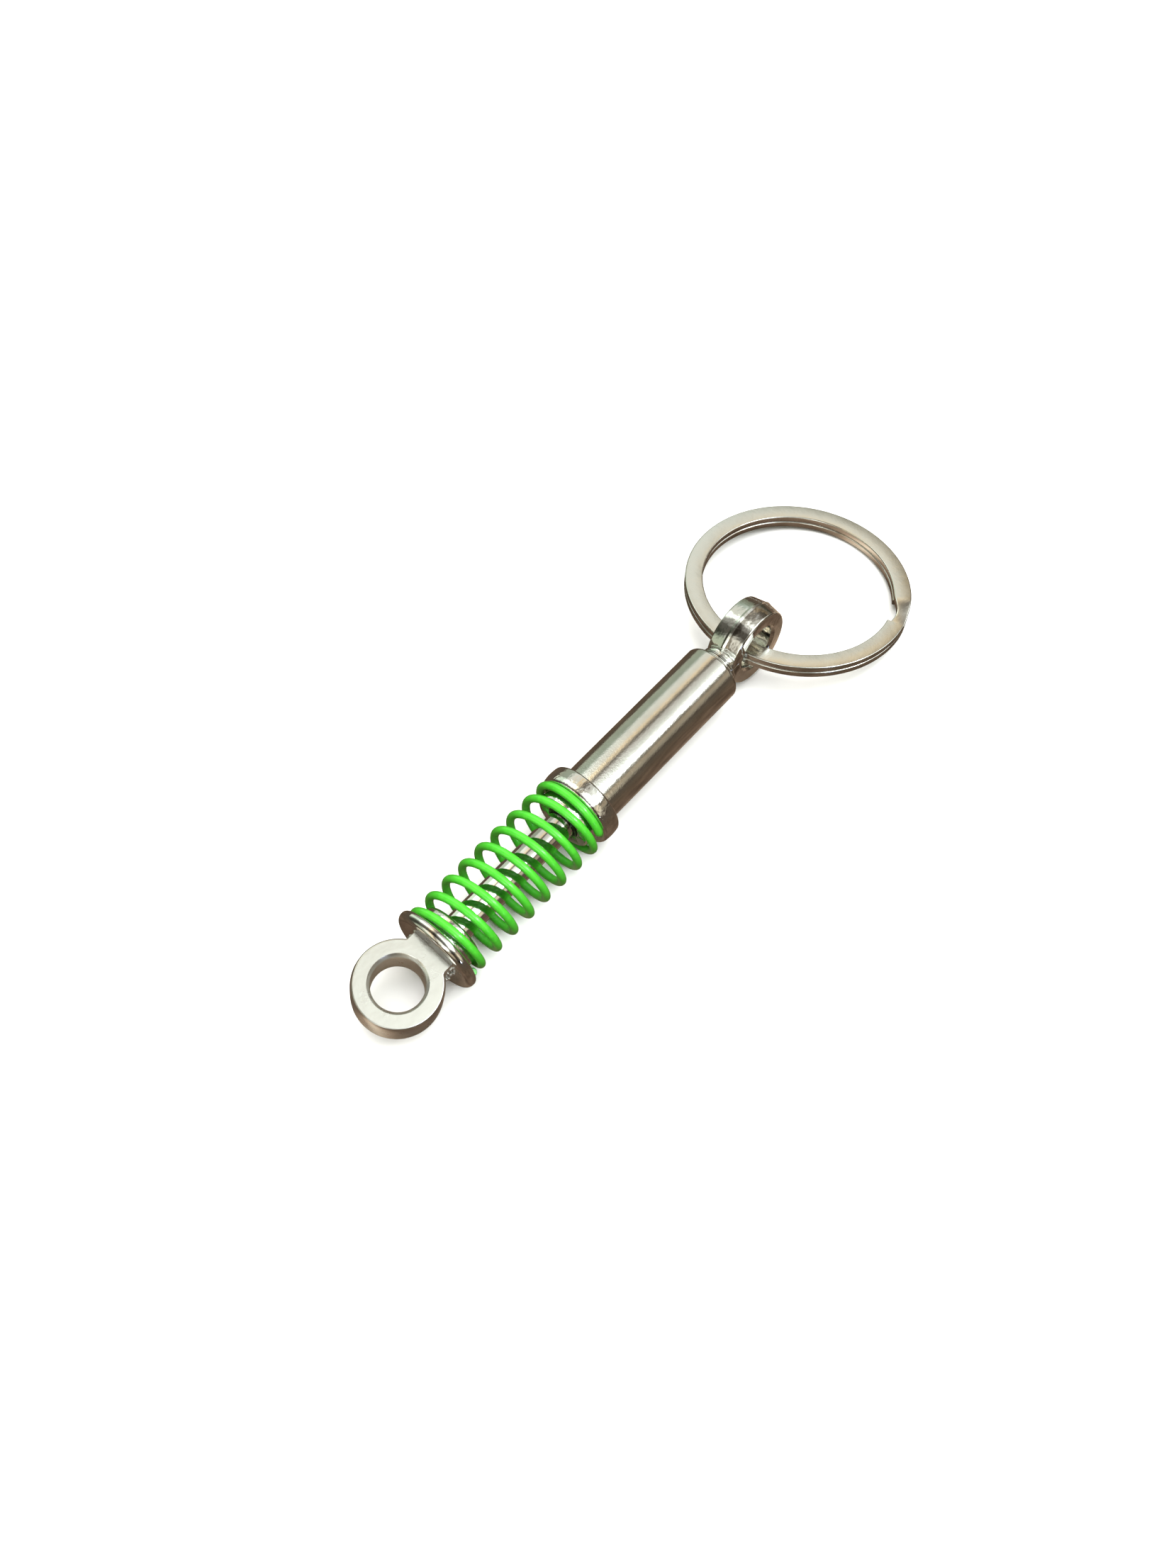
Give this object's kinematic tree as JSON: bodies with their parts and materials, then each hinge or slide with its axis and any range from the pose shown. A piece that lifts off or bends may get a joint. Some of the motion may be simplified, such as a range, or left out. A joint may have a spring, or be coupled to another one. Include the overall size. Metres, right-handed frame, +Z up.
{
  "type": "miniature shock absorber key chain",
  "caption": "Key chain in the form of a small coil-over shock absorber: sprung rod and barrel between two eyes, with a green coil spring and a split key ring.",
  "frame": {"origin": "middle of the object's box, on the ground it lies on", "axes": "+X along the shock from its lower eye to the split ring, +Z up from the ground, +Y to the left of +X"},
  "size_m": [0.0958, 0.03, 0.0117],
  "materials": {
    "plated_casting": "bright nickel plate over a slightly pebbled casting",
    "plated_collar": "bright nickel plate",
    "plated_barrel": "bright nickel plate with a faint orange-peel",
    "plated_eye": "bright nickel plate with fine casting dents",
    "polished_rod": "mirror polish",
    "turned_steel": "turned",
    "black_bush": "semi-gloss black",
    "green_coating": "glossy green powder coat",
    "nickel_ring": "satin nickel"
  },
  "bodies": {
    "barrel": {"barrel_tube": "plated_barrel", "upper_eye": "plated_eye", "upper_spring_seat": "plated_collar", "rod_guide_bush": "black_bush", "coil_spring": "green_coating"},
    "piston": {"piston": "turned_steel"},
    "rod": {"lower_mount": "plated_casting", "piston_rod": "polished_rod", "piston_nut": "turned_steel"},
    "ring": {"key_ring": "nickel_ring"}
  },
  "joints": [
    {"name": "spring_travel", "type": "slide", "parent": "barrel", "child": "piston", "axis": [1, 0, 0], "range_m": [0, 0.01], "stiffness_N_per_m": 1500, "springref_m": -0.0005, "deforming": ["coil_spring"]},
    {"name": "rod_swivel", "type": "hinge", "parent": "piston", "child": "rod", "pos_m": [-0.0105, -0.00096, 0.00587], "axis": [1, 0, 0], "continuous": true},
    {"name": "ring_swing", "type": "hinge", "parent": "barrel", "child": "ring", "pos_m": [0.02049, -0.00096, 0.00587], "axis": [0, -1, 0], "range_deg": [-155, 175]}
  ]
}
